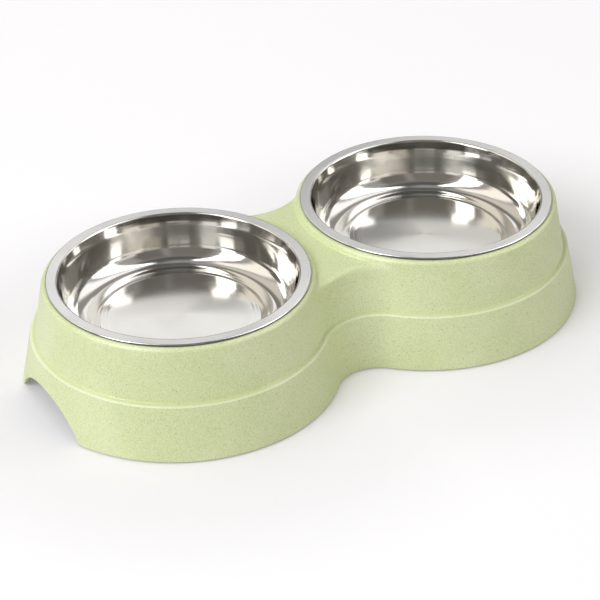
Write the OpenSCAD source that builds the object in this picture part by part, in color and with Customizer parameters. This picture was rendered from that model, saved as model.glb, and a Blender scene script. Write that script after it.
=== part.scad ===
// Double pet bowl: a figure-eight stand, two steel bowls that lift out, and six rubber feet.
// The origin is on the floor under the middle of the stand. X runs along the row of bowls, Z is up.

/* [Steel bowls] */
// Outside diameter of a bowl's rim
rim_d = 132.6; // [126:0.2:150]
// Height of the rim's top above the floor
rim_top_h = 58.3; // [54:0.1:72]
// Depth of a bowl, from its rim's top to the ring round its floor
bowl_depth = 25.5; // [20:0.5:30]
// Width of the rim, from its outer edge to the bowl's mouth
rim_w = 5.8; // [5:0.1:9]
// Height of the rim's folded edge
roll_h = 1.3; // [1.2:0.1:3]
// Width of the folded edge, from its outer edge inwards
roll_w = 2.8; // [2:0.1:3.4]
// Round of the folded edge where it meets the flat of the rim
roll_top_r = 0.8; // [0.5:0.1:1.6]
// Round at the foot of the folded edge
roll_foot_r = 0.4; // [0.2:0.1:0.8]
// Thickness of the steel sheet
sheet_t = 0.6; // [0.4:0.1:0.8]
// Round between the rim and the bowl's wall
mouth_r = 1.2; // [1:0.1:2]
// Lean of the bowl's wall from upright, in degrees
wall_lean = 12; // [4:1:18]
// Round between the bowl's wall and its floor
corner_r = 11; // [6:0.5:12]
// Width of the flat channel round the raised disc in the bowl's floor
channel_w = 2.7; // [1:0.1:8]
// Height of the raised disc
disc_h = 1; // [0.6:0.1:2]
// Width of the step up to the raised disc
disc_step_w = 3; // [3:0.1:5]
// Round of that step
disc_step_r = 4; // [1:0.5:4]

/* [Stand] */
// Gap between the two rims
rim_gap = 15.5; // [12:0.5:30]
// How far the stand's shoulder reaches outside the rims
shoulder_w = 2; // [1.2:0.1:4]
// Round of the shoulder
shoulder_r = 2.6; // [1:0.1:2.6]
// How far the deck between the bowls lies below the seats
deck_drop = 3.1; // [0.6:0.1:4]
// Round of the deck's front and rear edges
deck_edge_r = 3; // [2:0.5:6]
// How far the wall spreads from the shoulder down to the belt line
upper_spread = 4.8; // [2:0.1:8]
// Height of the belt line above the floor
belt_h = 29; // [25:0.5:36]
// Width of the ledge at the belt line
ledge_w = 2.8; // [1:0.1:4]
// Height of the ledge's slope
ledge_h = 1.2; // [0.3:0.1:2]
// Round of the ledge's two edges
ledge_r = 0.8; // [0.2:0.1:0.8]
// How far the wall spreads from the belt line down to its lower edge
lower_spread = 5.6; // [3:0.1:9]
// Radius of the waist at the wall's lower edge
waist_r = 21.5; // [16:0.5:40]
// Thickness of the moulded wall
wall_t = 2.4; // [1.8:0.1:2.8]
// Space between the wall's lower edge and the floor
floor_gap = 0.8; // [0.5:0.1:1.5]

/* [Seats and ribs] */
// Clearance round a bowl's wall in its seat
bowl_clear = 1; // [0.6:0.1:1.4]
// Chamfer round the inside of a seat
seat_chamfer = 0.6; // [0.2:0.1:0.8]
// Depth of the collar under a seat, from the seat's top
collar_h = 10; // [6:0.5:14]
// Thickness of the collar
collar_t = 2; // [1.4:0.1:2.4]
// Thickness of the ribs
rib_t = 1.8; // [1.2:0.1:2.4]
// Depth of the ribs under the deck, from its top
rib_h = 12; // [8:0.5:20]

/* [Finger arches] */
// Width of an arch at the wall's lower edge
arch_w = 62; // [40:1:70]
// Height of an arch above the floor
arch_h = 17.8; // [12:0.2:20]
// Round of the wall's corners beside an arch
arch_corner_r = 3.5; // [1:0.5:6]

/* [Feet] */
// Thickness of a foot's pad
pad_h = 2; // [1.8:0.1:4]
// Diameter of a foot's pad
pad_d = 12; // [10:0.5:14]
// Round of the pad's lower edge
pad_r = 0.6; // [0.2:0.1:0.8]
// Diameter of a foot's stem
stem_d = 5.4; // [4:0.1:6]
// Length of the stem
stem_l = 7; // [4:0.5:10]
// Length of the lead at the stem's end
stem_lead = 0.8; // [0.4:0.1:1.2]
// Clearance round the stem, and twice that above it
stem_clear = 0.2; // [0.1:0.05:0.3]
// Diameter of the post that holds a foot
post_d = 10; // [9:0.5:12]
// Distance from the wall's lower edge to the middle of a foot
foot_inset = 11.5; // [10:0.5:14]
// Angle of the outer feet round a bowl's centre, from the end of the stand
foot_angle = 55; // [45:1:70]

/* [Hidden] */
foot_names = [
    "foot_left_front", "foot_left_rear", "foot_middle_front",
    "foot_middle_rear", "foot_right_front", "foot_right_rear",
];
$fn = 120;

// Steps in each round of a profile
bend_steps = 8;
// Steps in half an arch
arch_steps = 12;
// Overrun of every cut
cut = 1;
// How deep the waist's wall laps into the bowls' walls where they meet
waist_lap = 0.05;
// The most of the folded edge's height that its two rounds may take
roll_foot_share = 0.32;
roll_top_share = 0.67;

// Bowls
rim_r = rim_d / 2;
row_x = (rim_d + rim_gap) / 2;
seat_h = rim_top_h - roll_h;
ring_h = rim_top_h - bowl_depth;
mouth_x = rim_r - rim_w;
ring_x = mouth_x - bowl_depth * tan(wall_lean);
disc_foot_x = ring_x - corner_r * tan((90 - wall_lean) / 2) - channel_w;
roll_foot_round = min(roll_foot_r, roll_h * roll_foot_share);
roll_top_round = min(roll_top_r, roll_h * roll_top_share);

// Wall of the stand
deck_h = seat_h - deck_drop;
shoulder_x = rim_r + shoulder_w;
belt_high_x = shoulder_x + upper_spread;
belt_low_x = belt_high_x + ledge_w;
lower_x = belt_low_x + lower_spread;
belt_top_h = belt_h + ledge_h / 2;
belt_foot_h = belt_h - ledge_h / 2;
deck_x = shoulder_x + upper_spread * deck_drop / (seat_h - belt_top_h);

// The waist is tangent to both bowls' walls at every height, because its radius and
// theirs add up to this sum all the way up
waist_sum = lower_x + waist_r;
waist_y = sqrt(waist_sum * waist_sum - row_x * row_x);

// Seats
seat_hole_r = mouth_x + sheet_t / cos(wall_lean) + bowl_clear;

// Feet: where each stands, and which way the nearest wall lies
foot_ring = lower_x - foot_inset;
foot_x = row_x + foot_ring * cos(foot_angle);
foot_y = foot_ring * sin(foot_angle);
middle_y = waist_y - waist_r - foot_inset;
foot_spots = [
    [-foot_x, -foot_y], [-foot_x, foot_y], [0, -middle_y],
    [0, middle_y], [foot_x, -foot_y], [foot_x, foot_y],
];
foot_turns = [180 + foot_angle, 180 - foot_angle, -90, 90, -foot_angle, foot_angle];
outer_post_top = belt_foot_h - wall_t;
middle_post_top = deck_h;
post_tops = [for (spot = foot_spots) spot[0] == 0 ? middle_post_top : outer_post_top];

// Profiles are paths of corners with a round at each. A path is shifted to its left to
// give the other face of a sheet or wall.
function unit(v) = v / norm(v);
function left_of(v) = [-v[1], v[0]];
function turned(v, a) = [v[0] * cos(a) - v[1] * sin(a), v[0] * sin(a) + v[1] * cos(a)];
function heading(path, i) = unit(path[i + 1] - path[i]);
function bend_angle(path, i) =
    let (a = heading(path, i - 1), b = heading(path, i))
    atan2(cross(a, b), a * b);
function bend(path, i, r) =
    let (
        along = heading(path, i - 1),
        angle = bend_angle(path, i),
        start = path[i] - along * r * tan(abs(angle) / 2),
        middle = start + left_of(along) * sign(angle) * r
    )
    [for (k = [0:bend_steps]) middle + turned(start - middle, angle * k / bend_steps)];
function rounded(path, rounds) = [
    for (i = [0:len(path) - 1]) each rounds[i] > 0 ? bend(path, i, rounds[i]) : [path[i]]
];
function shifted(path, d) = [
    for (i = [0:len(path) - 1])
        let (
            last = len(path) - 1,
            a = left_of(heading(path, max(i - 1, 0))),
            b = left_of(heading(path, min(i, last - 1)))
        )
        path[i] + d * (a + b) / (1 + a * b)
];
function shifted_rounds(path, rounds, d) = [
    for (i = [0:len(path) - 1])
        rounds[i] > 0 ? max(rounds[i] - d * sign(bend_angle(path, i)), 0) : 0
];
function face(path, rounds, d) = rounded(shifted(path, d), shifted_rounds(path, rounds, d));
function reversed(list) = [for (i = [len(list) - 1:-1:0]) list[i]];
function but_last(list) = [for (i = [0:len(list) - 2]) list[i]];

// The folded edge of a bowl's rim, pressed flat on itself, from its inner end round to its top
fold_path = [[rim_r - roll_w, seat_h], [rim_r, seat_h], [rim_r, rim_top_h]];
fold_rounds = [0, roll_foot_round, roll_top_round];

// The upper face of a bowl's sheet, from the mouth to the middle of the floor
dish_path = [
    [mouth_x, rim_top_h],
    [ring_x, ring_h],
    [disc_foot_x, ring_h],
    [disc_foot_x - disc_step_w, ring_h + disc_h],
    [0, ring_h + disc_h],
];
dish_rounds = [mouth_r, corner_r, disc_step_r, disc_step_r, 0];

// The outer face of the stand round a bowl, from its lower edge to the bowl's axis
lobe_path = [
    [lower_x, floor_gap],
    [belt_low_x, belt_foot_h],
    [belt_high_x, belt_top_h],
    [shoulder_x, seat_h],
    [0, seat_h],
];
lobe_rounds = [0, ledge_r, ledge_r, shoulder_r, 0];

// The same wall at the waist, where it ends at the deck
waist_path = [
    [lower_x, floor_gap],
    [belt_low_x, belt_foot_h],
    [belt_high_x, belt_top_h],
    [deck_x, deck_h],
    [0, deck_h],
];
waist_rounds = [0, ledge_r, ledge_r, deck_edge_r, 0];

module steel_bowl() {
    upper = face(concat(fold_path, dish_path), concat(fold_rounds, dish_rounds), 0);
    under = face(
        concat([[rim_r - roll_w, rim_top_h]], dish_path),
        concat([0], dish_rounds),
        sheet_t
    );
    rotate_extrude()
        polygon(concat(upper, reversed(under)));
}

// The solid round one bowl, with its wall d inside the outer face
module lobe(d) {
    outline = face(lobe_path, lobe_rounds, d);
    rotate_extrude()
        polygon(concat(outline, [[0, outline[0][1]]]));
}

// The hollow of the waist, which stands outside the wall
module waist_hollow(d) {
    wall = but_last(face(waist_path, waist_rounds, d));
    low = wall[0][1] - cut;
    high = deck_h + cut;
    face_x = [for (p = wall) waist_sum + waist_lap - p[0]];
    rotate_extrude()
        polygon(concat(
            [[0, low], [face_x[0], low]],
            [for (i = [0:len(wall) - 1]) [face_x[i], wall[i][1]]],
            [[face_x[len(wall) - 1], high], [0, high]]
        ));
}

// The solid between the bowls, under the deck
module waist(d) {
    low = shifted(waist_path, d)[0][1];
    difference() {
        translate([0, 0, low])
            linear_extrude(height = deck_h - d - low)
                polygon([[-row_x, 0], [0, -waist_y], [row_x, 0], [0, waist_y]]);
        for (side = [-1, 1])
            translate([0, side * waist_y, 0])
                waist_hollow(d);
    }
}

// The whole figure eight, with its wall d inside the outer face
module figure(d) {
    for (side = [-1, 1])
        translate([side * row_x, 0, 0])
            lobe(d);
    waist(d);
}

// The collars that guide the bowls and stiffen the seats
module collars() {
    for (side = [-1, 1])
        translate([side * row_x, 0, seat_h - collar_h])
            cylinder(r = seat_hole_r + collar_t, h = collar_h);
}

// The crossed ribs under the deck
module deck_ribs() {
    translate([-row_x, -rib_t / 2, deck_h - rib_h])
        cube([2 * row_x, rib_t, rib_h]);
    translate([-rib_t / 2, -waist_y, deck_h - rib_h])
        cube([rib_t, 2 * waist_y, rib_h]);
}

// One post for a foot, with the web that ties it to the wall
module foot_post(top) {
    translate([0, 0, pad_h])
        cylinder(d = post_d, h = top - pad_h);
    translate([0, -rib_t / 2, pad_h + rib_t])
        cube([2 * foot_inset, rib_t, top - pad_h - rib_t]);
}

module foot_posts() {
    for (i = [0:len(foot_spots) - 1])
        translate(foot_spots[i])
            rotate(foot_turns[i])
                foot_post(post_tops[i]);
}

module seat_holes() {
    low = seat_h - collar_h - rib_h;
    for (side = [-1, 1])
        translate([side * row_x, 0, 0]) {
            translate([0, 0, low])
                cylinder(r = seat_hole_r, h = seat_h - low + cut);
            translate([0, 0, seat_h - seat_chamfer])
                cylinder(r1 = seat_hole_r, r2 = seat_hole_r + seat_chamfer + cut, h = seat_chamfer + cut);
        }
}

module stem_bores() {
    for (spot = foot_spots)
        translate([spot[0], spot[1], pad_h - cut])
            cylinder(d = stem_d + 2 * stem_clear, h = stem_l + 2 * stem_clear + cut);
}

// The outline of an arch: an arc, with a small round where it runs into the lower edge
module arch_outline() {
    rise = arch_h - floor_gap;
    arc_r = (arch_w * arch_w / 4 + rise * rise) / (2 * rise);
    arc_z = arch_h - arc_r;
    corner_z = floor_gap + arch_corner_r;
    reach = arc_r + arch_corner_r;
    corner_y = sqrt(reach * reach - (corner_z - arc_z) * (corner_z - arc_z));
    meet = asin((corner_z - arc_z) / reach);
    half = concat(
        [[corner_y, floor_gap - cut]],
        [for (k = [0:bend_steps])
            let (a = -90 - (90 - meet) * k / bend_steps)
            [corner_y + arch_corner_r * cos(a), corner_z + arch_corner_r * sin(a)]],
        [for (k = [1:arch_steps])
            let (a = meet + (90 - meet) * k / arch_steps)
            [arc_r * cos(a), arc_z + arc_r * sin(a)]]
    );
    polygon(concat(half, [for (p = reversed(but_last(half))) [-p[0], p[1]]]));
}

module finger_arches() {
    for (side = [0, 1])
        mirror([side, 0, 0])
            translate([row_x, 0, 0])
                rotate([90, 0, 90])
                    linear_extrude(height = lower_x + cut)
                        arch_outline();
}

module base_shell() {
    color([0.82, 0.86, 0.68])
        difference() {
            union() {
                difference() {
                    figure(0);
                    figure(wall_t);
                }
                intersection() {
                    union() {
                        collars();
                        deck_ribs();
                        foot_posts();
                    }
                    figure(wall_t / 2);
                }
            }
            seat_holes();
            stem_bores();
            finger_arches();
        }
}

module food_bowl() {
    color([0.76, 0.77, 0.79])
        translate([-row_x, 0, 0])
            steel_bowl();
}

module water_bowl() {
    color([0.76, 0.77, 0.79])
        translate([row_x, 0, 0])
            steel_bowl();
}

module foot(i) {
    foot_path = [
        [0, 0],
        [pad_d / 2, 0],
        [pad_d / 2, pad_h],
        [stem_d / 2, pad_h],
        [stem_d / 2, pad_h + stem_l - stem_lead],
        [stem_d / 2 - stem_lead, pad_h + stem_l],
        [0, pad_h + stem_l],
    ];
    foot_rounds = [0, pad_r, 0, 0, 0, 0, 0];
    color([0.35, 0.36, 0.35])
        translate(foot_spots[i])
            rotate_extrude()
                polygon(rounded(foot_path, foot_rounds));
}

base_shell();
food_bowl();
water_bowl();
for (i = [0:len(foot_names) - 1])
    foot(i);
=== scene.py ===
# Double pet bowl: surfaces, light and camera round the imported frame
import math
import bmesh
import bpy
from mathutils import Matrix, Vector


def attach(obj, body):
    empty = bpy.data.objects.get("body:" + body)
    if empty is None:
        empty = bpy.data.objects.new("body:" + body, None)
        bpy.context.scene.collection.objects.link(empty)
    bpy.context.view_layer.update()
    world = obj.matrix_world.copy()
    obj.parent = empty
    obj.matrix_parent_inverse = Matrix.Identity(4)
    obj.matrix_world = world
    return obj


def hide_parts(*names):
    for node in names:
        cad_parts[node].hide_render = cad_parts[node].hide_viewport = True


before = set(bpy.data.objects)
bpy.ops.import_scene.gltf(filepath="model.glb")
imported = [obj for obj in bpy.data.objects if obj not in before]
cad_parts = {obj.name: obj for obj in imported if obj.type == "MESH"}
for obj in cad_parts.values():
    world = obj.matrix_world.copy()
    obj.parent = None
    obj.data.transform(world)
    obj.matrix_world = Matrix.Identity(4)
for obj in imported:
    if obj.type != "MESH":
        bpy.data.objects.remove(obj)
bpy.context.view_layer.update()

mm = 0.001
nudge = 0.01      # mm, keeps a height just inside the line that it is looked up on


def unitOf(v):
    size = math.hypot(v[0], v[1])
    return (v[0] / size, v[1] / size)


def roundedLine(corners, radii, steps):
    # a line of corners, each with its own round; a corner without a round stays a point
    line = []
    for i, p in enumerate(corners):
        r = radii[i]
        if r <= 0:
            line.append(p)
            continue
        a = unitOf((p[0] - corners[i - 1][0], p[1] - corners[i - 1][1]))
        b = unitOf((corners[i + 1][0] - p[0], corners[i + 1][1] - p[1]))
        turn = math.atan2(a[0] * b[1] - a[1] * b[0], a[0] * b[0] + a[1] * b[1])
        back = r * math.tan(abs(turn) / 2)
        side = 1 if turn > 0 else -1
        start = (p[0] - a[0] * back, p[1] - a[1] * back)
        mid = (start[0] - a[1] * side * r, start[1] + a[0] * side * r)
        dx, dy = start[0] - mid[0], start[1] - mid[1]
        for k in range(steps + 1):
            q = turn * k / steps
            line.append((mid[0] + dx * math.cos(q) - dy * math.sin(q),
                         mid[1] + dx * math.sin(q) + dy * math.cos(q)))
    return line


def movedLine(corners, d):
    # the same corners, moved to the left of the line by d
    ways = [unitOf((q[0] - p[0], q[1] - p[1])) for p, q in zip(corners, corners[1:])]
    out = []
    for p, before, after in zip(corners, ways[:1] + ways, ways + ways[-1:]):
        a, b = (-before[1], before[0]), (-after[1], after[0])
        k = d / (1 + a[0] * b[0] + a[1] * b[1])
        out.append((p[0] + k * (a[0] + b[0]), p[1] + k * (a[1] + b[1])))
    return out


def heldLine(line, gap):
    # long straight runs get points close to their ends, so that the shading stays flat between rounds
    out = [line[0]]
    for p, q in zip(line, line[1:]):
        run = math.hypot(q[0] - p[0], q[1] - p[1])
        if run > 4 * gap:
            for t in (gap / run, 0.5, 1 - gap / run):
                out.append((p[0] + (q[0] - p[0]) * t, p[1] + (q[1] - p[1]) * t))
        out.append(q)
    return out


def linkedObject(name, data):
    thing = bpy.data.objects.new(name, data)
    bpy.context.scene.collection.objects.link(thing)
    return thing


def newPiece(name, verts, faces, material, smooth=True):
    mesh = bpy.data.meshes.new(name)
    mesh.from_pydata(verts, [], faces)
    mesh.validate()
    if smooth:
        mesh.shade_smooth()
    mesh.materials.append(material)
    return linkedObject(name, mesh)


def ringFaces(rings):
    # faces between rings of points, the last and the first too; a ring may be one point, repeated
    for low, high in zip(rings, rings[1:] + rings[:1]):
        for k in range(len(low)):
            n = (k + 1) % len(low)
            corner = [low[k], low[n], high[n], high[k]]
            face = [v for i, v in enumerate(corner) if v not in corner[:i]]
            if len(face) > 2:
                yield face


def lathed(name, line, turns, material):
    # turns a closed (radius, height) line, in mm, round an upright axis; radius 0 becomes one point
    verts, rings = [], []
    for r, z in line:
        if r < 1e-6:
            rings.append([len(verts)] * turns)
            verts.append((0, 0, z * mm))
            continue
        rings.append(list(range(len(verts), len(verts) + turns)))
        for k in range(turns):
            a = 2 * math.pi * k / turns
            verts.append((r * math.cos(a) * mm, r * math.sin(a) * mm, z * mm))
    return newPiece(name, verts, list(ringFaces(rings)), material)


def addNode(tree, kind, place, **settings):
    # place counts columns and rows of the node editor
    node = tree.nodes.new(kind)
    node.location = (place[0] * 190, place[1] * 170)
    for key, value in settings.items():
        setattr(node, key, value)
    return node


def put(node, **values):
    # sets sockets by name; an underscore stands for a space
    for key, value in values.items():
        node.inputs[key.replace("_", " ")].default_value = value
    return node


def feed(tree, socket, value):
    # a number or a colour is set on the socket, and an output is linked to it
    if isinstance(value, (int, float)):
        socket.default_value = value
    elif isinstance(value, tuple):
        socket.default_value = (*value, 1)
    elif value is not None:
        tree.links.new(value, socket)


def mathNode(tree, operation, a, b=None, place=(0, 0), clamp=False):
    node = addNode(tree, "ShaderNodeMath", place, operation=operation, use_clamp=clamp)
    feed(tree, node.inputs[0], a)
    feed(tree, node.inputs[1], b)
    return node.outputs[0]


def mapRange(tree, value, fromLow, fromHigh, toLow=0.0, toHigh=1.0, place=(0, 0), smooth=True):
    node = addNode(tree, "ShaderNodeMapRange", place)
    node.interpolation_type = "SMOOTHSTEP" if smooth else "LINEAR"
    for key, v in (("Value", value), ("From Min", fromLow), ("From Max", fromHigh),
                   ("To Min", toLow), ("To Max", toHigh)):
        feed(tree, node.inputs[key], v)
    return node.outputs["Result"]


def zone(tree, measure, span, before, after, place):
    # goes softly from one value to another while a measure passes through a span in mm
    return mapRange(tree, measure, span[0] * mm, span[1] * mm, before, after, place)


def lengthOf(tree, a, b, place):
    # the length of a flat vector
    x, y = place
    squares = mathNode(tree, "ADD", mathNode(tree, "POWER", a, 2.0, (x, y + 1)),
                       mathNode(tree, "POWER", b, 2.0, (x, y)), (x + 1, y))
    return mathNode(tree, "SQRT", squares, None, (x + 2, y))


def mixColour(tree, factor, a, b, place=(0, 0)):
    node = addNode(tree, "ShaderNodeMix", place, data_type="RGBA")
    for i, v in ((0, factor), (6, a), (7, b)):      # the sockets that a mix of colours uses
        feed(tree, node.inputs[i], v)
    return node.outputs[2]


def bumpOf(tree, height, depth, strength, place, under=None):
    # a bump of a depth in mm, over another one if that is given
    node = put(addNode(tree, "ShaderNodeBump", place), Strength=strength, Distance=depth * mm)
    feed(tree, node.inputs["Height"], height)
    feed(tree, node.inputs["Normal"], under)
    return node.outputs[0]


def linear(rgb):
    # a colour as seen on a screen, 0 to 255, as the shader wants it
    return tuple(c / 255 / 12.92 if c / 255 <= 0.04045 else ((c / 255 + 0.055) / 1.055) ** 2.4 for c in rgb)


def newGroup(name, inputs, outputs):
    group = bpy.data.node_groups.new(name, "ShaderNodeTree")
    for label, kind, value in inputs:
        socket = group.interface.new_socket(name=label, in_out="INPUT", socket_type="NodeSocket" + kind)
        if value is not None:
            socket.default_value = value
    for label, kind in outputs:
        group.interface.new_socket(name=label, in_out="OUTPUT", socket_type="NodeSocket" + kind)
    return group, addNode(group, "NodeGroupInput", (-6, 0)), addNode(group, "NodeGroupOutput", (8, 0))


def useGroup(tree, group, place, vector=None, **values):
    node = addNode(tree, "ShaderNodeGroup", place, node_tree=group)
    if vector is not None:
        tree.links.new(vector, node.inputs["Vector"])
    return put(node, **values)


def newMaterial(name):
    # a material with one shader, and the place on the object for its patterns
    material = bpy.data.materials.new(name)
    material.use_nodes = True
    tree = material.node_tree
    tree.nodes.clear()
    out = addNode(tree, "ShaderNodeOutputMaterial", (10, 0))
    shader = addNode(tree, "ShaderNodeBsdfPrincipled", (8, 0))
    tree.links.new(shader.outputs[0], out.inputs[0])
    place = addNode(tree, "ShaderNodeTexCoord", (-9, 0)).outputs["Object"]
    return material, tree, shader, place


def linkSurface(tree, shader, colour, roughness, normal):
    for label, output in (("Base Color", colour), ("Roughness", roughness), ("Normal", normal)):
        tree.links.new(output, shader.inputs[label])


grainShape = {
    "noises": (("Grain Scale", 4.0, 0.55), ("Patch Scale", 3.0, 0.5)),      # with their detail and roughness
    "fineShare": 0.6,             # how much of the gloss follows the fine grain
}


def buildFineGrain(shape):
    # moulded or cast grain: fine soft bumps, and patches that differ a little in gloss
    group, inp, out = newGroup(
        "fineGrain",
        [("Vector", "Vector", None), ("Grain Scale", "Float", 900.0), ("Patch Scale", "Float", 45.0),
         ("Gloss Middle", "Float", 0.5), ("Gloss Spread", "Float", 0.08)],
        [("Height", "Float"), ("Roughness", "Float"), ("Patches", "Float")])
    link = group.links.new
    parts = []
    for i, (label, detail, roughness) in enumerate(shape["noises"]):
        noise = put(addNode(group, "ShaderNodeTexNoise", (-4, 1 - 2 * i)), Detail=detail, Roughness=roughness)
        link(inp.outputs["Vector"], noise.inputs["Vector"])
        link(inp.outputs[label], noise.inputs["Scale"])
        parts.append(noise.outputs["Fac"])
    grain, patches = parts
    fine = mathNode(group, "SUBTRACT", grain, 0.5, (-2, 0))
    fine = mathNode(group, "MULTIPLY", fine, shape["fineShare"], (-1, 0))
    both = mathNode(group, "ADD", mathNode(group, "SUBTRACT", patches, 0.5, (-2, -1)), fine, (0, -1))
    spread = mathNode(group, "MULTIPLY", both, inp.outputs["Gloss Spread"], (1, -1))
    gloss = mathNode(group, "ADD", spread, inp.outputs["Gloss Middle"], (2, -1), clamp=True)
    link(grain, out.inputs["Height"])
    link(gloss, out.inputs["Roughness"])
    link(patches, out.inputs["Patches"])
    return group


marksShape = {
    # turn of each layer of scratches, and how much longer than wide its cells are
    "layers": (((0.0, 0.15, 0.4), 14.0), ((0.2, 0.15, 1.5), 18.0), ((0.4, 0.15, 2.6), 12.0)),
    "scratchWidth": 0.012,
    "scratchFrom": (0.55, 0.68),  # the noise values between which scratches come in
    "smudgeFrom": (0.42, 0.72),
}


def buildHandlingMarks(shape):
    # thin random scratches and faint smudges from washing and handling
    group, inp, out = newGroup(
        "handlingMarks",
        [("Vector", "Vector", None), ("Scratch Scale", "Float", 60.0), ("Smudge Scale", "Float", 28.0)],
        [("Scratches", "Float"), ("Smudges", "Float")])
    link = group.links.new
    scratches = 0.0
    for i, (turn, stretch) in enumerate(shape["layers"]):
        turned = addNode(group, "ShaderNodeMapping", (-4, i))
        put(turned, Rotation=turn, Scale=(1.0, stretch, 1.0))
        link(inp.outputs["Vector"], turned.inputs["Vector"])
        cells = addNode(group, "ShaderNodeTexVoronoi", (-3, i), feature="DISTANCE_TO_EDGE")
        link(turned.outputs[0], cells.inputs["Vector"])
        link(inp.outputs["Scratch Scale"], cells.inputs["Scale"])
        layer = mapRange(group, cells.outputs["Distance"], 0.0, shape["scratchWidth"], 1.0, 0.0, (-2, i))
        scratches = mathNode(group, "MAXIMUM", layer, scratches, (-1, i))
    some = addNode(group, "ShaderNodeTexNoise", (-3, 4))
    link(inp.outputs["Vector"], some.inputs["Vector"])
    link(inp.outputs["Smudge Scale"], some.inputs["Scale"])
    gate = mapRange(group, some.outputs["Fac"], *shape["scratchFrom"], 0.0, 1.0, (-2, 4))
    link(mathNode(group, "MULTIPLY", scratches, gate, (1, 1)), out.inputs["Scratches"])
    link(mapRange(group, some.outputs["Fac"], *shape["smudgeFrom"], 0.0, 1.0, (1, 4)), out.inputs["Smudges"])
    return group


fineGrain = buildFineGrain(grainShape)
handlingMarks = buildHandlingMarks(marksShape)


strawPlasticLook = {
    "pale": (224, 232, 180),      # where the resin is clearest
    "deep": (215, 225, 166),      # where the straw lies thickest
    "patchFrom": (0.35, 0.65),
    "straw": (186, 190, 130),
    "light": (247, 248, 222),
    "mottle": 0.30,               # the ground fibre under the surface
    "mottleScale": 1350.0,
    "mottleDetail": 3.0,
    "mottleRoughness": 0.6,
    "strawFrom": (0.36, 0.50),
    "lightFrom": (0.50, 0.64),
    # specks, straw chips and light flecks: tone, fineness, share left out, strength
    "chips": (((142, 148, 96), 980.0, 0.48, 0.85), ((186, 190, 130), 700.0, 0.35, 0.50),
              ((247, 248, 222), 1300.0, 0.25, 0.45)),
    "chipShape": (0.36, 0.14),    # size and softness
    # longer fibres that lie in a few directions: tone, fineness, turn
    "fibres": (((186, 190, 130), 420.0, (0.0, 0.70, 0.3)), ((247, 248, 222), 546.0, (0.5, 0.35, 1.3)),
               ((186, 190, 130), 672.0, (1.0, 0.0, 2.4))),
    "fibreOut": 0.62,
    "fibreShape": (0.17, 0.05),
    "fibreAmount": 0.42,
    "fibreStretch": 0.22,
    # painted shade in the belt line's inner corner, and a painted highlight along its outer edge: heights,
    # softness, tone, strength
    "beltShadeAndHighlight": ((29.1, 29.5, 0.22, (202, 209, 150), 0.5), (28.6, 28.84, 0.14, (246, 248, 232), 0.40)),
    "grain": {"Grain_Scale": 1500.0, "Patch_Scale": 26.0, "Gloss_Middle": 0.42, "Gloss_Spread": 0.16},
    "grainDepth": 0.0175,
    "grainBump": 0.35,
    "finish": {"IOR": 1.52, "Specular_IOR_Level": 0.75, "Sheen_Weight": 0.14, "Sheen_Roughness": 0.5},
}


def chipMask(tree, vector, place, fineness, leftOut, size, edge, most=1.0):
    # a soft mask of chips of mixed sizes, and a random value for each chip
    x, y = place
    cells = put(addNode(tree, "ShaderNodeTexVoronoi", place), Scale=fineness, Randomness=1.0)
    tree.links.new(vector, cells.inputs["Vector"])
    pick = addNode(tree, "ShaderNodeSeparateColor", (x + 1, y))
    tree.links.new(cells.outputs["Color"], pick.inputs[0])
    reach = mapRange(tree, pick.outputs[0], leftOut, 1.0, 0.0, size, (x + 2, y), smooth=False)
    inside = mathNode(tree, "SUBTRACT", reach, cells.outputs["Distance"], (x + 3, y))
    return mapRange(tree, inside, 0.0, edge, 0.0, most, (x + 4, y)), pick.outputs[1]


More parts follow.
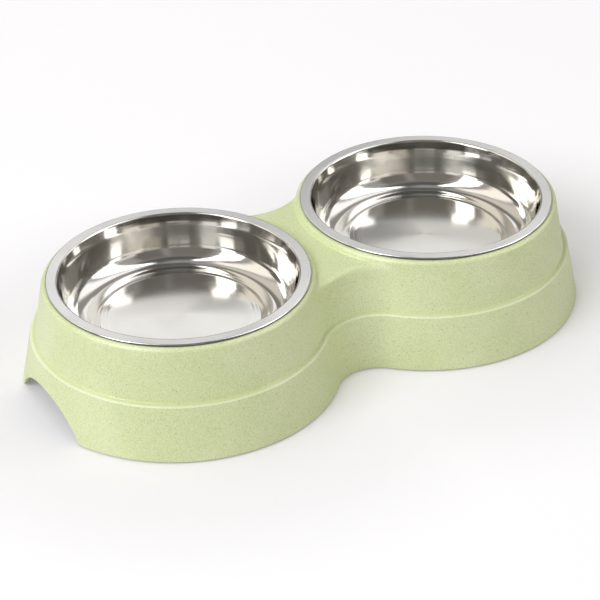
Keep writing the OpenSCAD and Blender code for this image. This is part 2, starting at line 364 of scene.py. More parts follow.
def buildStrawPlastic(look):
    material, tree, shader, place = newMaterial("strawPlastic")
    grain = useGroup(tree, fineGrain, (-6, -3), place, **look["grain"])
    clear = mapRange(tree, grain.outputs["Patches"], *look["patchFrom"], place=(-5, 1))
    colour = mixColour(tree, clear, linear(look["deep"]), linear(look["pale"]), (-4, 1))
    mottle = put(addNode(tree, "ShaderNodeTexNoise", (-7, 1)), Scale=look["mottleScale"],
                 Detail=look["mottleDetail"], Roughness=look["mottleRoughness"])
    tree.links.new(place, mottle.inputs["Vector"])
    shade = mapRange(tree, mottle.outputs["Fac"], *look["strawFrom"], look["mottle"], 0.0, (-5, 0))
    colour = mixColour(tree, shade, colour, linear(look["straw"]), (-3, 1))
    light = mapRange(tree, mottle.outputs["Fac"], *look["lightFrom"], 0.0, look["mottle"], (-5, -1))
    colour = mixColour(tree, light, colour, linear(look["light"]), (-2, 1))
    for i, (tone, fineness, leftOut, strength) in enumerate(look["chips"]):
        mask, share = chipMask(tree, place, (-7, 2 + i), fineness, leftOut, *look["chipShape"])
        mask = mathNode(tree, "MULTIPLY", mask, share, (-2, 2 + i))
        mask = mathNode(tree, "MULTIPLY", mask, strength, (-1, 2 + i), clamp=True)
        colour = mixColour(tree, mask, colour, linear(tone), (i, 2))
    for i, (tone, fineness, turn) in enumerate(look["fibres"]):
        turned = addNode(tree, "ShaderNodeMapping", (-8, 6 + i))
        put(turned, Rotation=turn, Scale=(look["fibreStretch"], 1.0, 1.0))
        tree.links.new(place, turned.inputs["Vector"])
        mask, _ = chipMask(tree, turned.outputs[0], (-7, 6 + i), fineness, look["fibreOut"],
                           *look["fibreShape"], look["fibreAmount"])
        colour = mixColour(tree, mask, colour, linear(tone), (3 + i, 3))
    split = addNode(tree, "ShaderNodeSeparateXYZ", (-8, -5))
    tree.links.new(place, split.inputs[0])
    # the belt line's painted shade and painted highlight, laid on by height
    for i, (low, high, soft, tone, strength) in enumerate(look["beltShadeAndHighlight"]):
        rise = zone(tree, split.outputs[2], (low - soft, low), 0.0, strength, (4, -5 - i))
        fall = zone(tree, split.outputs[2], (high, high + soft), 1.0, 0.0, (5, -5 - i))
        band = mathNode(tree, "MULTIPLY", rise, fall, (6, -5 - i))
        colour = mixColour(tree, band, colour, linear(tone), (6 + i, 3))
    bump = bumpOf(tree, grain.outputs["Height"], look["grainDepth"], look["grainBump"], (6, -3))
    linkSurface(tree, shader, colour, grain.outputs["Roughness"], bump)
    put(shader, **look["finish"])
    return material


steelLook = {
    "inside": (221, 219, 215),
    "rim": (236, 236, 236),
    "smudge": (188, 184, 176),
    "gapShadow": (34, 34, 28),      # painted shadow: the dark line where the folded edge meets the seat
    "mirrorGloss": 0.075,
    "discGloss": 0.11,            # the disc is a little softer than the wall
    "rimGloss": 0.19,
    "foldGloss": 0.09,            # the folded edge is polished by its tool
    "stretch": 0.85,              # polishing marks run round the bowl and stretch reflections up its wall
    "stretchTurn": 0.25,
    # where one finish runs into the next, and where the painted shadow at the fold's foot fades out, in mm:
    # radii from the bowl's axis, then heights
    "rimFrom": (60.2, 61.5),
    "foldFrom": (65.5, 65.75),
    "discTo": (33.0, 36.0),
    "gapShadowTo": (57.65, 58.0),
    "cornerTo": (39.0, 42.0),
    "gapShadowStrength": 0.9,
    "smudgeStrength": 0.08,
    "smudgeGloss": 0.03,
    "scratchGloss": 0.08,
    "marks": {"Scratch_Scale": 70.0, "Smudge_Scale": 30.0},
    "grain": {"Grain_Scale": 2600.0, "Patch_Scale": 60.0, "Gloss_Middle": 0.0, "Gloss_Spread": 0.05},
    # lathe grooves, and softer rings from the pressing, deeper in the corner and faint on the disc
    "grooves": {"Scale": 5200.0, "Detail": 2.0},
    "grooveDepth": 0.01,
    "grooveBump": 0.08,
    "rings": {"Scale": 620.0, "Detail": 1.0},
    "ringDepth": 0.016,
    "cornerRings": 3.0,
    "discRings": 0.2,
}


def buildBowlSteel(look):
    material, tree, shader, place = newMaterial("bowlSteel")
    link = tree.links.new
    split = addNode(tree, "ShaderNodeSeparateXYZ", (-8, 0))
    link(place, split.inputs[0])
    height = split.outputs[2]
    radius = lengthOf(tree, split.outputs[0], split.outputs[1], (-7, 0))
    # the lathe's marks only change with the radius and the height
    along = addNode(tree, "ShaderNodeCombineXYZ", (-4, -2))
    link(radius, along.inputs[0])
    link(height, along.inputs[1])
    grooves = put(addNode(tree, "ShaderNodeTexNoise", (-3, -2)), **look["grooves"])
    rings = put(addNode(tree, "ShaderNodeTexNoise", (-3, -7)), **look["rings"])
    for noise in (grooves, rings):
        link(along.outputs[0], noise.inputs["Vector"])
    onRim = zone(tree, radius, look["rimFrom"], 0.0, 1.0, (-3, 1))
    onDisc = zone(tree, radius, look["discTo"], 1.0, 0.0, (-3, 2))
    onFold = zone(tree, radius, look["foldFrom"], 0.0, 1.0, (-3, 4))
    # painted shadow at the foot of the folded edge, fading out upwards
    gapShadow = zone(tree, height, look["gapShadowTo"], look["gapShadowStrength"], 0.0, (-3, 3))
    marks = useGroup(tree, handlingMarks, (-3, -4), place, **look["marks"])
    smudges, scratches = marks.outputs["Smudges"], marks.outputs["Scratches"]
    grain = useGroup(tree, fineGrain, (-3, -6), place, **look["grain"])
    rough = mapRange(tree, onRim, 0.0, 1.0, look["mirrorGloss"], look["rimGloss"], (0, 1), smooth=False)
    for i, (mask, change) in enumerate((
            (onDisc, look["discGloss"] - look["mirrorGloss"]), (onFold, look["foldGloss"] - look["rimGloss"]),
            (smudges, look["smudgeGloss"]), (scratches, look["scratchGloss"]))):
        rough = mathNode(tree, "ADD", rough, mathNode(tree, "MULTIPLY", mask, change, (i, 2)), (i + 1, 1))
    rough = mathNode(tree, "ADD", rough, grain.outputs["Roughness"], (5, 1), clamp=True)
    tone = mixColour(tree, onRim, linear(look["inside"]), linear(look["rim"]), (1, 3))
    # real smudges, then the painted shadow at the fold's foot
    for i, (mask, strength, colour) in enumerate(((smudges, look["smudgeStrength"], look["smudge"]),
                                                  (gapShadow, onFold, look["gapShadow"]))):
        mask = mathNode(tree, "MULTIPLY", mask, strength, (2 + i, 4))
        tone = mixColour(tree, mask, tone, linear(colour), (3 + i, 3))
    less = mathNode(tree, "MULTIPLY", onDisc, look["cornerRings"] - look["discRings"], (2, -7))
    depth = zone(tree, height, look["cornerTo"], look["cornerRings"], 1.0, (2, -8))
    depth = mathNode(tree, "SUBTRACT", depth, less, (3, -7))
    depth = mathNode(tree, "MULTIPLY", rings.outputs["Fac"], depth, (4, -7))
    soft = bumpOf(tree, depth, look["ringDepth"], 1.0, (5, -7))
    lift = mathNode(tree, "SUBTRACT", grooves.outputs["Fac"], scratches, (4, -2))
    bump = bumpOf(tree, lift, look["grooveDepth"], look["grooveBump"], (6, -2), soft)
    linkSurface(tree, shader, tone, rough, bump)
    around = addNode(tree, "ShaderNodeTangent", (6, -5), direction_type="RADIAL", axis="Z")
    link(around.outputs[0], shader.inputs["Tangent"])
    put(shader, Metallic=1.0, Anisotropic=look["stretch"], Anisotropic_Rotation=look["stretchTurn"])
    return material


rubberLook = {
    "tone": (112, 114, 111),
    "worn": (132, 133, 129),
    "wornFrom": (0.4, 0.7),
    "grain": {"Grain_Scale": 2200.0, "Patch_Scale": 260.0, "Gloss_Middle": 0.72, "Gloss_Spread": 0.18},
    "grainDepth": 0.03,
    "grainBump": 0.5,
    "ior": 1.5,
}


def buildFootRubber(look):
    material, tree, shader, place = newMaterial("footRubber")
    grain = useGroup(tree, fineGrain, (-6, 0), place, **look["grain"])
    worn = mapRange(tree, grain.outputs["Patches"], *look["wornFrom"], place=(-4, 1))
    tone = mixColour(tree, worn, linear(look["tone"]), linear(look["worn"]), (0, 1))
    bump = bumpOf(tree, grain.outputs["Height"], look["grainDepth"], look["grainBump"], (6, -2))
    linkSurface(tree, shader, tone, grain.outputs["Roughness"], bump)
    put(shader, IOR=look["ior"])
    return material


strawPlastic = buildStrawPlastic(strawPlasticLook)
bowlSteel = buildBowlSteel(steelLook)
footRubber = buildFootRubber(rubberLook)
print("materials built")


bowl = {
    "rimRadius": 66.3, "rimTop": 58.3, "depth": 25.5, "rimWidth": 5.8,
    "foldHeight": 1.3, "foldWidth": 2.8, "edgeRound": 0.64,
    "sheet": 0.6, "mouthRound": 1.2, "wallLean": 12.0, "cornerRound": 11.0,
    "flare": 17.0, "flareDrop": 5.0, "flareRound": 25.0,
    "channel": 2.7, "discStep": 3.0, "discHeight": 1.0, "discRound": 4.0, "discCrown": 0.5,
    "rowX": 74.05, "turns": 272, "steps": 16, "discRows": 10, "hold": 0.4,
}


def bowlLine(b):
    # the sheet's upper face from the folded edge to the middle of the floor, then back along its other face
    mouth = b["rimRadius"] - b["rimWidth"]
    floorZ, seat = b["rimTop"] - b["depth"], b["rimTop"] - b["foldHeight"]
    ringRadius = mouth - b["depth"] * math.tan(math.radians(b["wallLean"]))
    discFoot = ringRadius - b["cornerRound"] * math.tan(math.radians((90 - b["wallLean"]) / 2)) - b["channel"]
    discEdge, discTop = discFoot - b["discStep"], floorZ + b["discHeight"]
    flareRadius = mouth - b["flareDrop"] * math.tan(math.radians(b["flare"]))
    corners = [(b["rimRadius"] - b["foldWidth"], seat), (b["rimRadius"], seat), (b["rimRadius"], b["rimTop"]),
               (mouth, b["rimTop"]), (flareRadius, b["rimTop"] - b["flareDrop"]),
               (ringRadius, floorZ), (discFoot, floorZ), (discEdge, discTop)]
    radii = [0, b["edgeRound"], b["edgeRound"], b["mouthRound"], b["flareRound"], b["cornerRound"],
             b["discRound"], b["discRound"]]
    signs = [0, 1, 1, 1, 1, -1, -1, 1]      # 1 where the other face's round is smaller, -1 where it is larger
    for k in range(b["discRows"] - 1, -1, -1):
        corners.append((discEdge * k / b["discRows"], discTop))
        radii.append(0)
        signs.append(0)
    otherRadii = [max(r - s * b["sheet"], 0) if r else 0 for r, s in zip(radii, signs)]
    top = heldLine(roundedLine(corners, radii, b["steps"]), b["hold"])
    under = heldLine(roundedLine(movedLine(corners, b["sheet"]), otherRadii, b["steps"]), b["hold"])

    def dome(r):
        # the raised disc is slightly domed
        return b["discCrown"] * max(1 - (r / discEdge) ** 2, 0) ** 2

    return [(r, z + dome(r)) for r, z in top + under[::-1]]


def makeBowl(name, node, side):
    piece = lathed(name, bowlLine(bowl), bowl["turns"], bowlSteel)
    piece.location = (side * bowl["rowX"] * mm, 0, 0)
    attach(piece, node)
    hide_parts(node)
    return piece


bowls = [makeBowl("foodBowlSteel", "food_bowl", -1), makeBowl("waterBowlSteel", "water_bowl", 1)]
print("bowls lathed")


stand = {
    "rowX": 74.05, "shoulder": 68.3, "seat": 57.0, "deck": 53.9, "lowEdge": 0.8,
    "beltTop": 29.35, "beltFoot": 28.65, "beltInner": 73.1, "beltOuter": 75.9, "lowRadius": 81.5,
    "waistSum": 103.0, "wall": 2.4, "ledgeRound": 0.45, "ledgeCove": 0.7,
    "shoulderRound": 2.6, "deckRound": 4.0, "deckFillet": 3.0, "filletReach": 3.0, "lipRound": 0.45,
    "seatHole": 62.11, "seatChamfer": 0.6, "collarDepth": 10.0, "collarWall": 2.0, "collarEdge": 0.3,
    "archWidth": 62.0, "archHeight": 17.8, "archCorner": 3.5, "archClear": 4.5,
    "rib": 1.8, "ribDepth": 12.0, "ribTop": 1.44, "ribShare": 0.9, "ribClear": 0.15,
    "postRadius": 5.0, "postEdge": 0.25, "boreRadius": 2.9, "boreTop": 9.4, "boreLead": 0.2, "footGap": 2.0,
    "footRing": 70.0, "footAngle": 55.0, "footInset": 11.5, "webReach": 25.3, "webOverlap": 0.6,
    # the wall's inner face: its least rounds, and the share of the wall that its cove gains
    "innerShoulder": 0.2, "innerLedge": 0.15, "coveShare": 0.6,
    # the deck's corner runs to the middle with this power, and the wall's rows end this far under its round
    "cornerPower": 1.2, "wallDrop": 1.2,
    # columns along the end, the side and the waist, rows over the top, and steps of the rounds
    "endAngle": 30.0, "columns": (56, 60, 32), "rows": (24, 26), "hiddenRows": (10, 11),
    "pathSteps": (160, 240), "archSteps": 48, "cornerSteps": 16, "roundSteps": 10, "hiddenSteps": 4,
    "lipSteps": 5, "postTurns": 48, "postRows": 12, "ribRows": 8,
    "lowShares": (0.02, 0.08, 0.25, 0.5, 0.75, 1.0), "highShares": (0.25, 0.5, 0.75, 1.0),
    "rowGap": 0.5, "hold": 0.4, "sharpAngle": 38.0,
}


def heightAt(line, x):
    # the height of a line that falls or stays level as x grows
    if x <= line[0][0]:
        return line[0][1]
    for (x0, z0), (x1, z1) in zip(line, line[1:]):
        if x <= x1:
            return z0 + (z1 - z0) * (x - x0) / (x1 - x0) if x1 > x0 else max(z0, z1)
    return line[-1][1]


def radiusAt(line, z):
    # the same line read the other way: the wall's radius at a height
    for (x0, z0), (x1, z1) in zip(line, line[1:]):
        if z1 <= z <= z0:
            return x0 + (x1 - x0) * (z0 - z) / (z0 - z1) if z0 > z1 else x1
    return line[-1][0]


def waistDistance(s):
    # how far the axis that the waist's inside round turns about lies from the middle
    return math.sqrt(s["waistSum"] ** 2 - s["rowX"] ** 2)


def footSpots(s):
    # each foot's node, its place, and the way out from its bowl's axis or from the stand's middle
    angle = math.radians(s["footAngle"])
    middleY = waistDistance(s) - (s["waistSum"] - s["lowRadius"]) - s["footInset"]
    spots = []
    for side, sx in (("left", -1), ("middle", 0), ("right", 1)):
        for end, sy in (("front", -1), ("rear", 1)):
            if sx:
                out = Vector((sx * math.cos(angle), sy * math.sin(angle), 0))
                spot = Vector((sx * s["rowX"], 0, 0)) + out * s["footRing"]
            else:
                out = Vector((0, sy, 0))
                spot = out * middleY
            spots.append(("foot_" + side + "_" + end, spot, out))
    return spots


def archLine(s):
    # half of an arch's outline as (distance from its middle, height), from its top to the lower edge
    rise = s["archHeight"] - s["lowEdge"]
    radius = (s["archWidth"] ** 2 / 4 + rise ** 2) / (2 * rise)
    middle = s["archHeight"] - radius
    cornerZ = s["lowEdge"] + s["archCorner"]
    reach = radius + s["archCorner"]
    cornerY = math.sqrt(reach ** 2 - (cornerZ - middle) ** 2)
    meet = math.asin((cornerZ - middle) / reach)
    line = []
    for k in range(s["archSteps"]):
        a = (math.pi / 2 - meet) * k / s["archSteps"]
        line.append((radius * math.sin(a), middle + radius * math.cos(a)))
    for k in range(s["cornerSteps"] + 1):
        a = math.pi + meet + (math.pi / 2 - meet) * k / s["cornerSteps"]
        line.append((cornerY + s["archCorner"] * math.cos(a), cornerZ + s["archCorner"] * math.sin(a)))
    return line


def evenPoints(path, count, lengthWeight=0.12, bendWeight=3.0):
    # count points along a path in space without its end, closer together where the path bends
    weights = [0.0]
    for i in range(1, len(path)):
        bend = 0.0
        if i < len(path) - 1:
            a, b = path[i] - path[i - 1], path[i + 1] - path[i]
            if a.length > 1e-9 and b.length > 1e-9:
                bend = a.angle(b)
        length = (path[i] - path[i - 1]).length
        weights.append(weights[-1] + length * lengthWeight + bend * bendWeight + 1e-6)
    out, j = [path[0].copy()], 1
    for k in range(1, count):
        target = weights[-1] * k / count
        while weights[j] < target:
            j += 1
        out.append(path[j - 1].lerp(path[j], (target - weights[j - 1]) / (weights[j] - weights[j - 1])))
    return out


def wallFace(s, inset):
    # one face of the wall as (radius, height) from the top down: round a bowl, and at the waist
    slope = (s["beltInner"] - s["shoulder"]) / (s["seat"] - s["beltTop"])
    deckEdge = s["shoulder"] + slope * (s["seat"] - s["deck"])
    below = [(s["beltInner"], s["beltTop"]), (s["beltOuter"], s["beltFoot"]), (s["lowRadius"], s["lowEdge"])]
    face = {"deckEdge": deckEdge}
    for name, x, z, edge in (("bowl", s["shoulder"], s["seat"], s["shoulderRound"]),
                             ("deck", deckEdge, s["deck"], s["deckRound"])):
        radii = [0, max(edge - inset, s["innerShoulder"]), s["ledgeCove"] + inset * s["coveShare"],
                 max(s["ledgeRound"] - inset, s["innerLedge"]), 0]
        steps = s["hiddenSteps"] if inset else s["roundSteps"]
        face[name] = roundedLine(movedLine([(0, z), (x, z)] + below, -inset), radii, steps)
    return face


def wallColumn(s, line, topZ, angle, arch, inset):
    # the wall at one angle, from its lower edge up to topZ; an arch lifts the lower edge
    lip, middle, foot = s["lipRound"], s["archHeight"] + s["archClear"], s["lowEdge"]
    for _ in range(6):      # the wall leans, so the arch's height over a place is found step by step
        y = abs(radiusAt(line, foot + nudge) * math.sin(angle))
        foot = s["lowEdge"] if y >= arch[-1][0] else heightAt(arch, y)
    rows = []
    for k in range(s["lipSteps"] + 1):
        q = math.pi / 2 * k / s["lipSteps"]
        z = foot + lip * (1 - math.cos(q))
        rows.append((radiusAt(line, z + nudge) + (1 if inset else -1) * lip * (1 - math.sin(q)), z))
    for t in s["lowShares"]:
        z = foot + lip + (middle - foot - lip) * t
        rows.append((radiusAt(line, z), z))
    bends = [z for _, z in line if middle + s["rowGap"] < z < topZ - s["rowGap"]]
    high, low = max(bends), min(bends)
    bends += [(middle + low) / 2, low - s["hold"], high + s["hold"]]
    bends += [high + (topZ - high) * t for t in s["highShares"]]
    return rows + [(radiusAt(line, z), z) for z in sorted(bends)]


def topHeight(s, face, waist, left, plan, fillet):
    # height of the seats and the deck over a place; they run into each other with a fillet
    outward = s["waistSum"] - (plan - waist).length
    onBowl, onDeck = heightAt(face["bowl"], (plan - left).length), heightAt(face["deck"], outward)
    k = fillet * min(max((face["deckEdge"] - s["deckRound"] - outward) / s["filletReach"], 0), 1)
    if k <= 0:
        return max(onBowl, onDeck)
    h = max(k - abs(onBowl - onDeck), 0) / k
    return max(onBowl, onDeck) + h * h * k / 4


def wellLine(s):
    # the seat's hole and its collar: down the chamfer and the hole, round the edge and up the outside
    hole, seat, chamfer, edge = s["seatHole"], s["seat"], s["seatChamfer"], s["collarEdge"]
    low, outer = seat - s["collarDepth"], hole + s["collarWall"]
    chamferShares = ((0.5, 0.42), (2 / 15, 0.85), (0, 1.2), (0, 5))
    edgeShares = ((0, 2), (0, 1), (0.3, 0.3), (1, 0))
    line = [(hole + chamfer * x, seat - chamfer * z) for x, z in chamferShares]
    line += [(hole + edge * x, low + edge * z) for x, z in edgeShares]
    line += [(outer - edge * x, low + edge * z) for x, z in edgeShares[::-1]]
    return line + [(outer, seat - s["wall"] - s["rowGap"])]


def shellColumns(s):
    # a quarter of the shell as closed columns: up the outside, down through the seat's hole, down the inside
    left = Vector((-s["rowX"], 0, 0))
    waistY = waistDistance(s)
    waist = Vector((0, -waistY, 0))
    tangent = math.atan2(-waistY, s["rowX"]) % (2 * math.pi)
    arch = archLine(s)
    faces = {inset: wallFace(s, inset) for inset in (0, s["wall"])}
    splitZ = s["deck"] - s["deckRound"] - s["wallDrop"]
    up = Vector((0, 0, 1))

    def column(angle, share, inset):
        face = faces[inset]
        wall = wallColumn(s, face["bowl"], splitZ, angle, arch, inset)
        split = wall[-1][0]
        edge = radiusAt(face["bowl"], s["deck"] - inset)
        hole = s["seatHole"] + (s["collarWall"] if inset else s["seatChamfer"])
        if share is None:       # round a bowl
            out = Vector((math.cos(angle), math.sin(angle), 0))
            corner, start = left + out * edge, left + out * split
            rows = [left + out * r + up * z for r, z in wall]

            def height(plan):
                return heightAt(face["bowl"], (plan - left).length)
        else:                   # at the waist: over the deck to a corner, then towards the bowl
            theta = tangent + (2 * math.pi - tangent) * share
            reach = edge + (s["rowX"] - edge) * share ** s["cornerPower"]
            corner = Vector((0, 0, 0))
            if share < 1:
                corner = left + Vector((math.cos(theta), math.sin(theta), 0)) * reach
            ray = (corner - waist).normalized()
            rows = [waist + ray * (s["waistSum"] - r) + up * z for r, z in wall]
            start = waist + ray * (s["waistSum"] - split)

            def height(plan):
                return topHeight(s, face, waist, left, plan, 0 if inset else s["deckFillet"])
        towardsBowl = (left - corner).normalized()
        legs = []
        for a, b, steps in zip((start, corner), (corner, left - towardsBowl * hole), s["pathSteps"]):
            plans = [a.lerp(b, k / steps) for k in range(steps + 1)]
            legs.append([Vector((p.x, p.y, height(p))) for p in plans])
        first, second = s["hiddenRows"] if inset else s["rows"]
        rows += evenPoints(legs[0], first)[1:] + evenPoints(legs[1], second) + [legs[1][-1]]
        return rows, towardsBowl

    end, side, across = s["columns"]
    endAngle = math.radians(s["endAngle"])
    turned = math.pi + endAngle
    places = [(math.pi + endAngle * k / end, None) for k in range(end)]
    places += [(turned + (tangent - turned) * k / side, None) for k in range(side)]
    places += [(tangent, k / across) for k in range(across + 1)]
    well = wellLine(s)
    grid = []
    for angle, share in places:
        outside, towardsBowl = column(angle, share, 0)
        inside, _ = column(angle, share, s["wall"])
        grid.append(outside + [left - towardsBowl * r + up * z for r, z in well] + inside[::-1])
    return grid


def addLoft(bm, rings):
    # closes a stack of rings of points into one solid
    made = [[bm.verts.new(p * mm) for p in ring] for ring in rings]
    count = len(made[0])
    for a, b in zip(made, made[1:]):
        for k in range(count):
            n = (k + 1) % count
            bm.faces.new((a[k], a[n], b[n], b[k]))
    bm.faces.new(made[0][::-1])
    bm.faces.new(made[-1])


def addPost(bm, s, spot, top, keepInside):
    # a foot's post, with the bore that takes the foot's stem
    low, r, bore, edge, lead = s["footGap"], s["postRadius"], s["boreRadius"], s["postEdge"], s["boreLead"]
    profile = [(bore, low + lead), (bore + lead, low), (r - edge, low), (r - edge * 0.28, low + edge * 0.28)]
    for k in range(s["postRows"] + 1):
        profile.append((r, low + edge + (top - low - 2 * edge) * k / s["postRows"]))
    profile += [(r - edge, top), (0, top), (0, s["boreTop"]), (bore, s["boreTop"])]
    turns, rings = s["postTurns"], []
    for radius, z in profile:
        if radius == 0:
            rings.append([bm.verts.new(keepInside(spot + Vector((0, 0, z))) * mm)] * turns)
            continue
        rings.append([])
        for k in range(turns):
            a = 2 * math.pi * k / turns
            point = spot + Vector((radius * math.cos(a), radius * math.sin(a), z))
            rings[-1].append(bm.verts.new(keepInside(point) * mm))
    for face in ringFaces(rings):
        bm.faces.new(face)


def makeStand(s):
    grid = shellColumns(s)
    rows = len(grid[0])
    shell = bmesh.new()
    for flipX in (1, -1):
        for flipY in (1, -1):
            verts = [[shell.verts.new((p.x * flipX * mm, p.y * flipY * mm, p.z * mm)) for p in column]
                     for column in grid]
            for a, b in zip(verts, verts[1:]):
                for j in range(rows):
                    n = (j + 1) % rows
                    ring = (a[j], b[j], b[n], a[n])
                    shell.faces.new(ring if flipX * flipY > 0 else ring[::-1])
    bmesh.ops.remove_doubles(shell, verts=shell.verts, dist=2e-6)
    middle = wallFace(s, s["wall"] / 2)
    waistY = waistDistance(s)

    def keepInside(p):
        # posts, webs and ribs end inside the wall
        top = s["deck"] - s["wall"] / 2 - nudge
        out = Vector((-abs(p.x) + s["rowX"], p.y, 0))
        sign = 1 if p.y > 0 else -1
        fromWaist = Vector((p.x, p.y - sign * waistY, 0))
        if math.atan2(abs(out.y), out.x) < math.atan2(waistY, s["rowX"]):
            least = s["waistSum"] - radiusAt(middle["deck"], min(p.z, top))
            if fromWaist.length < least:
                fromWaist = fromWaist.normalized() * least
                return Vector((fromWaist.x, fromWaist.y + sign * waistY, min(p.z, top)))
            return Vector((p.x, p.y, min(p.z, top)))
        most = radiusAt(middle["bowl"], min(p.z, s["seat"] - s["wall"]))
        if out.length > most:
            out = out.normalized() * most
            return Vector((math.copysign(s["rowX"] - out.x, p.x), out.y, p.z))
        return p

    half = s["rib"] / 2
    for _, spot, out in footSpots(s):
        low = s["footGap"]
        top = s["beltFoot"] - s["wall"] if spot.x else s["deck"]
        addPost(shell, s, spot, top, keepInside)
        side = Vector((-out.y, out.x, 0)) * half
        web = []
        for k in range(s["postRows"] + 1):
            lift = Vector((0, 0, low + s["rib"] + (top - low - s["rib"]) * k / s["postRows"]))
            near = spot + out * (s["postRadius"] - s["webOverlap"]) + lift
            far = spot + out * s["webReach"] + lift
            web.append([keepInside(q) for q in (near - side, far - side, far + side, near + side)])
        addLoft(shell, web)
    reach, length = s["rowX"] - s["seatHole"] - s["ribClear"], waistY * s["ribShare"]
    bottom, height = s["deck"] - s["ribDepth"], s["ribDepth"] - s["ribTop"]
    highs = [bottom + height * k / s["ribRows"] for k in range(s["ribRows"] + 1)]
    for x, y in ((reach, half), (half, length)):
        corners = ((-x, -y), (x, -y), (x, y), (-x, y))
        addLoft(shell, [[keepInside(Vector((*corner, z))) for corner in corners] for z in highs])
    bmesh.ops.recalc_face_normals(shell, faces=shell.faces)
    mesh = bpy.data.meshes.new("standShell")
    shell.to_mesh(mesh)
    shell.free()
    mesh.shade_smooth()
    mesh.set_sharp_from_angle(angle=math.radians(s["sharpAngle"]))
    mesh.materials.append(strawPlastic)
    piece = linkedObject("standShell", mesh)
    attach(piece, "stand")
    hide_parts("base_shell")


foot = {
    "padRadius": 6.0, "padHeight": 2.0, "padRound": 0.6, "topRound": 0.25, "rootRound": 0.35,
    "stemRadius": 2.7, "stemLength": 7.0, "lead": 0.8, "leadRound": 0.3, "turns": 72, "steps": 8,
}


def makeFoot(f, node, spot):
    pad, stem, lead, step = f["padRadius"], f["stemRadius"], f["lead"], f["padHeight"]
    top = step + f["stemLength"]
    corners = [(0, 0), (pad, 0), (pad, step), (stem, step), (stem, top - lead), (stem - lead, top), (0, top)]
    radii = [0, f["padRound"], f["topRound"], f["rootRound"], f["leadRound"], f["leadRound"], 0]
    piece = lathed(node + "_rubber", roundedLine(corners, radii, f["steps"]), f["turns"], footRubber)
    piece.location = spot * mm
    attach(piece, "stand")
    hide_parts(node)


makeStand(stand)
print("stand built")
for footNode, footSpot, _ in footSpots(stand):
    makeFoot(foot, footNode, footSpot)
print("feet lathed")


studio = {
    "floorTone": (0.742, 0.722, 0.714), "floorSize": 12.0,
    "floorGrain": {"Grain_Scale": 400.0, "Patch_Scale": 3.0, "Gloss_Middle": 0.9, "Gloss_Spread": 0.05},
    # how much nearer to white the camera sees the floor: from one distance to another, in m from a bowl's
    # axis, it goes from one amount to another
    "fills": (
        (0.09, 0.20, 0.20, 0.32),        # round the stand, less of it close by: a painted shadow halo
        (0.05, 0.074, 0.1, 1.0),         # the share of it that is left under the stand, small: a painted shadow under the stand
        (1.0, 3.0, 0.0, 0.7),            # what the horizon adds
    ),
    "worldLevel": 0.41, "worldTint": (1.0, 0.985, 0.93),
    "aim": (0.0, 0.0, 0.03),
    "lamps": {
        "key": {"size": (2.6, 2.0), "azimuth": 284.0, "elevation": 38.0, "distance": 4.0, "power": 90.0,
                "tint": (0.98, 1.0, 1.10)},
        "top": {"size": (2.4, 1.6), "azimuth": 215.0, "elevation": 68.0, "distance": 3.8, "power": 29.0,
                "tint": (0.98, 1.0, 1.10)},
        "side": {"size": (1.0, 2.0), "azimuth": 58.0, "elevation": 24.0, "distance": 4.4, "power": 18.5,
                 "tint": (1.0, 1.0, 1.0)},
    },
    # what the steel mirrors of the room: azimuth, elevation, half width, half height, softness, colour
    "room": [
        (0, 90, 200, 34, 10, (0.12, 0.12, 0.115)),       # dark ceiling
        (205, 72, 35, 8, 6, (0.40, 0.40, 0.39)),         # its lighter end
        (0, 90, 200, 8, 5, (0.40, 0.40, 0.39)),          # and a skylight overhead
        (55, 40, 14, 37, 4, (3.00, 3.00, 3.00)),         # tall windows, and the walls between them
        (91, 38, 14, 34, 6, (1.40, 1.40, 1.39)),
        (126, 34, 16, 30, 6, (0.36, 0.34, 0.31)),
        (165, 32, 18, 28, 6, (0.26, 0.24, 0.205)),
        (199, 36, 14, 32, 6, (0.80, 0.75, 0.67)),
        (235, 38, 16, 34, 6, (1.35, 1.28, 1.15)),
        (275, 41, 11, 38, 3, (4.60, 4.55, 4.42)),
        (319, 30, 24, 26, 7, (0.23, 0.215, 0.19)),       # where the camera stands
        (3, 30, 16, 24, 6, (0.20, 0.19, 0.17)),
        (25, 14, 10, 5, 3, (0.90, 0.90, 0.90)),          # a low lamp
        (329, 0, 70, 8, 3, (0.04, 0.035, 0.027)),        # dark edge of the table
        (170, 0, 80, 9, 3, (0.09, 0.08, 0.06)),
        (149, 33, 20, 8, 3, (0.80, 0.79, 0.765)),        # the backdrop behind the bowls
        (149, 36.5, 20, 5, 1.2, (1.22, 1.22, 1.21)),
        (149, 26, 2.2, 5.5, 0.8, (0.24, 0.24, 0.235)),
    ],
    "roomTone": (0.44, 0.43, 0.41),
}


def towards(azimuth, elevation, distance):
    # azimuth 0 is the near long side, 90 the right end, 270 the left end
    a, e = math.radians(azimuth), math.radians(elevation)
    return Vector((math.sin(a) * math.cos(e), -math.cos(a) * math.cos(e), math.sin(e))) * distance


def softBox(name, box, aim):
    data = bpy.data.lights.new(name, "AREA")
    data.shape = "RECTANGLE"
    data.size, data.size_y = box["size"]
    data.energy = box["power"]
    data.color = box["tint"]
    lamp = linkedObject(name, data)
    lamp.location = aim + towards(box["azimuth"], box["elevation"], box["distance"])
    lamp.rotation_euler = (aim - lamp.location).to_track_quat("-Z", "Y").to_euler()
    # the steel mirrors the room and not the lamps
    skipped = bpy.data.collections.new(name + "Skips")
    for piece in bowls:
        skipped.objects.link(piece)
    lamp.light_linking.receiver_collection = skipped
    for linked in skipped.collection_objects:
        linked.light_linking.link_state = "EXCLUDE"


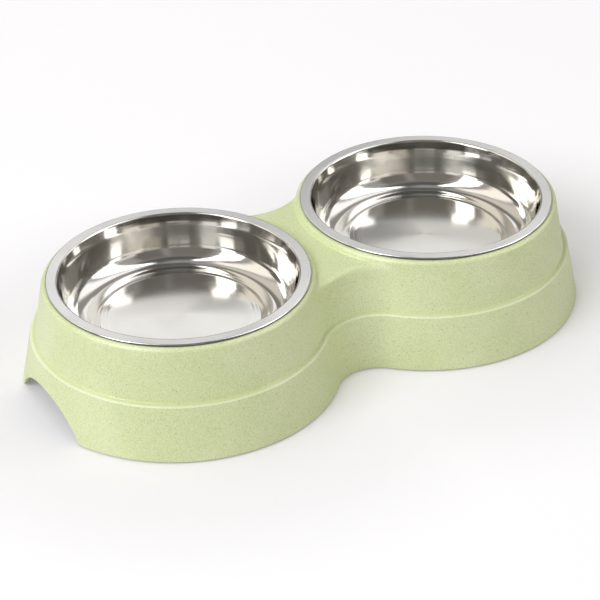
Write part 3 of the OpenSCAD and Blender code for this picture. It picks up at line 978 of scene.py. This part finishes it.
def makeFloor(s):
    half = s["floorSize"] / 2
    material, tree, shader, place = newMaterial("paleFloor")
    paper = useGroup(tree, fineGrain, (-3, 0), place, **s["floorGrain"])
    tree.links.new(paper.outputs["Roughness"], shader.inputs["Roughness"])
    # the distance from the nearer bowl's axis
    split = addNode(tree, "ShaderNodeSeparateXYZ", (-8, 2))
    tree.links.new(place, split.inputs[0])
    aside = mathNode(tree, "ABSOLUTE", split.outputs[0], None, (-7, 3))
    aside = mathNode(tree, "SUBTRACT", aside, stand["rowX"] * mm, (-6, 3))
    away = lengthOf(tree, aside, split.outputs[1], (-5, 3))
    # the camera sees the floor nearer to white than it is lit, more so away from the stand, so that the floor
    # near and under the stand carries a painted shadow
    near, under, horizon = [mapRange(tree, away, *span, (-2, 3 + i)) for i, span in enumerate(s["fills"])]
    fill = mathNode(tree, "ADD", mathNode(tree, "MULTIPLY", near, under, (-1, 3)), horizon, (0, 3))
    seen = addNode(tree, "ShaderNodeLightPath", (-1, 2)).outputs["Is Camera Ray"]
    fill = mathNode(tree, "MULTIPLY", fill, seen, (1, 3))
    shade = addNode(tree, "ShaderNodeCombineColor", (2, 2))
    for socket in shade.inputs:
        tree.links.new(fill, socket)
    tree.links.new(shade.outputs[0], shader.inputs["Emission Color"])
    # from below the floor is clear, so that the underside can be looked at
    below = addNode(tree, "ShaderNodeNewGeometry", (4, -3)).outputs["Backfacing"]
    tree.links.new(mathNode(tree, "SUBTRACT", 1.0, below, (5, -3)), shader.inputs["Alpha"])
    put(shader, Base_Color=(*s["floorTone"], 1.0), Emission_Strength=1.0, IOR=1.1)
    floor = newPiece("floor", [(-half, -half, 0), (half, -half, 0), (half, half, 0), (-half, half, 0)],
                     [(0, 1, 2, 3)], material, smooth=False)


def buildRoomPatch():
    # a soft-edged patch of the room, found by its direction in degrees
    group, inp, out = newGroup(
        "roomPatch",
        [("Azimuth Here", "Float", 0.0), ("Elevation Here", "Float", 0.0), ("Azimuth", "Float", 0.0),
         ("Elevation", "Float", 0.0), ("Half Width", "Float", 10.0), ("Half Height", "Float", 10.0),
         ("Softness", "Float", 3.0)],
        [("Mask", "Float")])
    sides = []
    for i, (label, size) in enumerate((("Azimuth", "Half Width"), ("Elevation", "Half Height"))):
        away = mathNode(group, "SUBTRACT", inp.outputs[label + " Here"], inp.outputs[label], (-4, i))
        turn = addNode(group, "ShaderNodeMath", (-3, i), operation="WRAP")
        turn.inputs[1].default_value, turn.inputs[2].default_value = 180.0, -180.0
        group.links.new(away, turn.inputs[0])
        away = mathNode(group, "ABSOLUTE", turn.outputs[0], None, (-2, i))
        low = mathNode(group, "SUBTRACT", inp.outputs[size], inp.outputs["Softness"], (-3, 3 + i))
        high = mathNode(group, "ADD", inp.outputs[size], inp.outputs["Softness"], (-3, 5 + i))
        sides.append(mapRange(group, away, low, high, 1.0, 0.0, (0, i)))
    group.links.new(mathNode(group, "MULTIPLY", sides[0], sides[1], (2, 0)), out.inputs["Mask"])
    return group


def makeWorld(s):
    world = bpy.data.worlds.new("studioWorld")
    bpy.context.scene.world = world
    world.use_nodes = True
    tree = world.node_tree
    tree.nodes.clear()
    seen = addNode(tree, "ShaderNodeLightPath", (-4, 0)).outputs
    direct = mathNode(tree, "MAXIMUM", seen["Is Glossy Ray"], seen["Is Transmission Ray"], (-3, 0))
    direct = mathNode(tree, "MAXIMUM", seen["Is Camera Ray"], direct, (-2, 0))
    level = mapRange(tree, direct, 0.0, 1.0, s["worldLevel"], 1.0, (-1, 0), smooth=False)
    # the direction a reflected ray takes, as azimuth and elevation
    split = addNode(tree, "ShaderNodeSeparateXYZ", (-8, 4))
    tree.links.new(addNode(tree, "ShaderNodeTexCoord", (-9, 4)).outputs["Generated"], split.inputs[0])
    toDegrees = 180 / math.pi
    back = mathNode(tree, "MULTIPLY", split.outputs[1], -1.0, (-7, 5))
    azimuth = mathNode(tree, "ARCTAN2", split.outputs[0], back, (-6, 5))
    azimuth = mathNode(tree, "MULTIPLY", azimuth, toDegrees, (-5, 5))
    elevation = mathNode(tree, "ARCSINE", split.outputs[2], None, (-6, 4))
    elevation = mathNode(tree, "MULTIPLY", elevation, toDegrees, (-5, 4))
    patch = buildRoomPatch()
    colour = s["roomTone"]
    for i, (a, e, width, height, soft, tone) in enumerate(s["room"]):
        mask = useGroup(tree, patch, (-3 + i, 6), Azimuth=a, Elevation=e, Half_Width=width,
                        Half_Height=height, Softness=soft)
        tree.links.new(azimuth, mask.inputs["Azimuth Here"])
        tree.links.new(elevation, mask.inputs["Elevation Here"])
        colour = mixColour(tree, mask.outputs[0], colour, tone, (-3 + i, 4))
    plain = mixColour(tree, seen["Is Camera Ray"], s["worldTint"], (1.0, 1.0, 1.0), (9, 3))
    colour = mixColour(tree, seen["Is Glossy Ray"], plain, colour, (10, 4))
    light = addNode(tree, "ShaderNodeBackground", (12, 0))
    tree.links.new(colour, light.inputs["Color"])
    tree.links.new(level, light.inputs["Strength"])
    tree.links.new(light.outputs[0], addNode(tree, "ShaderNodeOutputWorld", (14, 0)).inputs[0])


view = {
    "place": (-0.51142, -0.85528, 0.63448),
    "turn": (58.2345, 0.93800, -31.26004),
    "lens": 134.896, "sensor": 36.0, "clip": (0.05, 30.0),
}


def makeCamera(v):
    data = bpy.data.cameras.new("photoView")
    data.lens, data.sensor_width = v["lens"], v["sensor"]
    data.clip_start, data.clip_end = v["clip"]
    camera = linkedObject("photoView", data)
    camera.location = v["place"]
    camera.rotation_euler = [math.radians(a) for a in v["turn"]]
    bpy.context.scene.camera = camera


makeFloor(studio)
makeWorld(studio)
for label, lampBox in studio["lamps"].items():
    softBox(label + "Light", lampBox, Vector(studio["aim"]))
makeCamera(view)
bpy.context.scene.view_settings.view_transform = "Standard"
print("studio and camera set")
